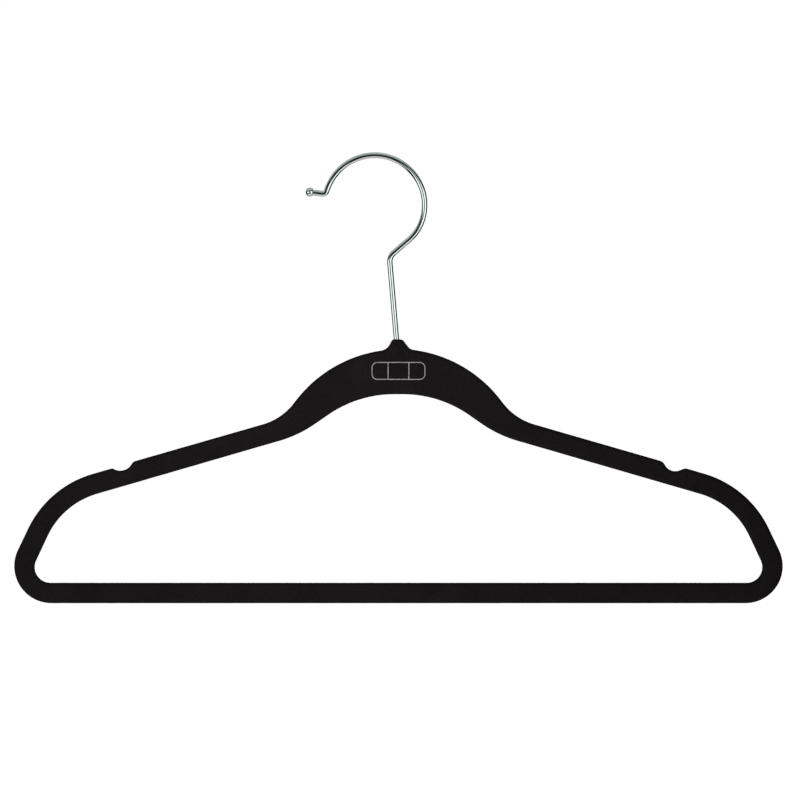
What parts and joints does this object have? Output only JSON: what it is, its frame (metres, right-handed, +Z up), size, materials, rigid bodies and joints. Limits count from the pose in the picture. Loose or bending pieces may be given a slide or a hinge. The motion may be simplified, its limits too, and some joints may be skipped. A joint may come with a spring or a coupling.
{
  "type": "clothes hanger",
  "caption": "Slim flocked clothes hanger for children's clothes, with notched sloping arms, a straight trouser bar and a ball-ended wire hook that swivels in the neck.",
  "frame": {"origin": "the seat of the hook: the point inside its top that rests on the rail", "axes": "+X along the hanger, to the right seen from its printed front; +Y to its back; +Z up"},
  "size_m": [0.3552, 0.0072, 0.2085],
  "materials": {
    "velvet": "short black flock",
    "core_plastic": "moulded ABS",
    "chrome_wire": "bright chrome plate",
    "collar_steel": "plain",
    "print": "light grey transfer print"
  },
  "bodies": {
    "hook": {"hook_wire": "chrome_wire", "hook_ball": "chrome_wire", "retaining_collar": "collar_steel"},
    "frame": {"frame_core": "core_plastic", "velvet_flock": "velvet", "printed_ornament": "print"}
  },
  "joints": [
    {"name": "hook_swivel", "type": "hinge", "parent": "hook", "child": "frame", "pos_m": [0.0101, 0, -0.0841], "axis": [-0.0859, 0, 0.9963], "continuous": true}
  ]
}
